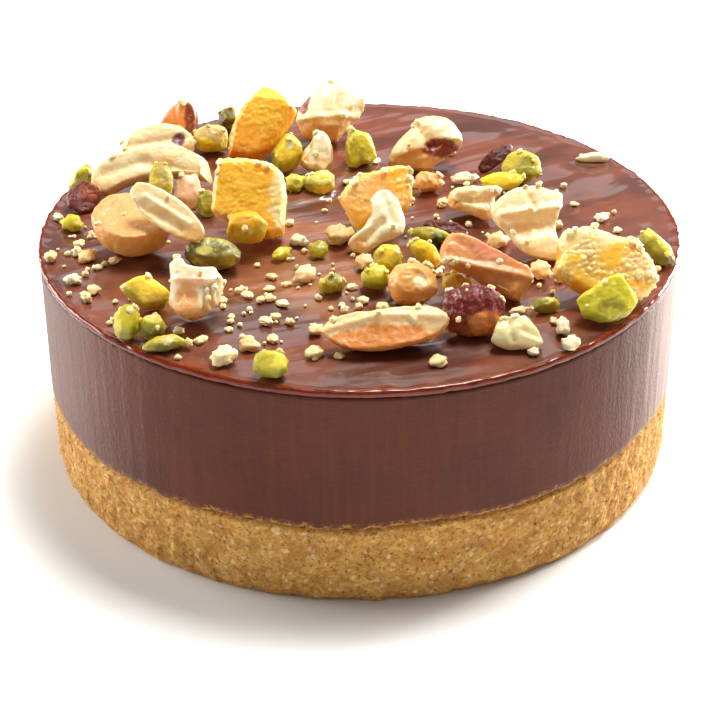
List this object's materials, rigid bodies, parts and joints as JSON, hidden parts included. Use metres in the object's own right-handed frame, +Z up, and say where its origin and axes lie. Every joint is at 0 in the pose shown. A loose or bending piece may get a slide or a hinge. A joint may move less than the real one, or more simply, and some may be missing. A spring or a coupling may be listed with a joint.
{
  "type": "chocolate tart",
  "caption": "Small round chocolate tart on a pressed biscuit base, glazed and topped with chopped nuts, candied peel and pistachio.",
  "frame": {"origin": "centre of the flat underside", "axes": "+Z up through the tart's middle, +X to the right and +Y to the back as the picture shows it"},
  "size_m": [0.08, 0.0801, 0.0393],
  "materials": {
    "biscuit": "matte, granular pressed biscuit crumb",
    "cream": "satin set chocolate cream",
    "glaze": "glossy dark chocolate glaze",
    "pale_nut": "satin blanched nut",
    "roast_nut": "satin roasted nut",
    "brown_nut": "semi-gloss caramelised nut",
    "peel": "semi-gloss candied peel",
    "pistachio": "satin pistachio",
    "olive_pistachio": "satin pistachio with its skin",
    "nut_skin": "semi-gloss dark nut skin",
    "red_nut": "satin red-skinned nut"
  },
  "bodies": {
    "root": {"biscuit_base": "biscuit", "chocolate_cream": "cream", "chocolate_glaze": "glaze", "hazelnut_half": "roast_nut", "almond_slice_long": "pale_nut", "peanut_half_small": "pale_nut", "almond_slab_back": "pale_nut", "almond_chip_brown": "brown_nut", "nut_block_cut": "pale_nut", "nut_pink": "pale_nut", "hazelnut_back": "pale_nut", "nut_shard": "pale_nut", "nut_hooked": "pale_nut", "nut_arch": "pale_nut", "nut_ball_small": "pale_nut", "nut_stub": "pale_nut", "nut_flake": "pale_nut", "almond_sliver": "pale_nut", "almond_wedge": "roast_nut", "hazelnut_red": "red_nut", "nut_ball": "roast_nut", "peanut_half_front": "roast_nut", "nut_grained": "pale_nut", "peel_back": "peel", "peel_left": "peel", "peel_centre": "peel", "peel_right": "peel", "pistachio_left_rim": "pistachio", "pistachio_olive": "olive_pistachio", "pistachio_pointed": "pistachio", "pistachio_front_a": "pistachio", "pistachio_front_b": "olive_pistachio", "pistachio_front_c": "pistachio", "pistachio_under_slice": "pistachio", "pistachio_shaded": "olive_pistachio", "pistachio_back_left": "pistachio", "pistachio_back_dark": "olive_pistachio", "pistachio_under_peel": "pistachio", "pistachio_by_peel": "pistachio", "pistachio_centre_back": "pistachio", "pistachio_upright": "pistachio", "pistachio_middle_upper": "pistachio", "pistachio_middle_lower": "olive_pistachio", "pistachio_bright": "pistachio", "pistachio_strip": "olive_pistachio", "pistachio_gold": "pistachio", "pistachio_small_round": "pistachio", "pistachio_rim_front": "pistachio", "pistachio_dark_front": "olive_pistachio", "pistachio_leaf": "pistachio", "pistachio_right_rim": "pistachio", "pistachio_right_back": "olive_pistachio", "pistachio_right_bright": "pistachio", "skin_left_rim": "nut_skin", "skin_curl": "nut_skin", "skin_centre": "nut_skin"}
  },
  "joints": []
}
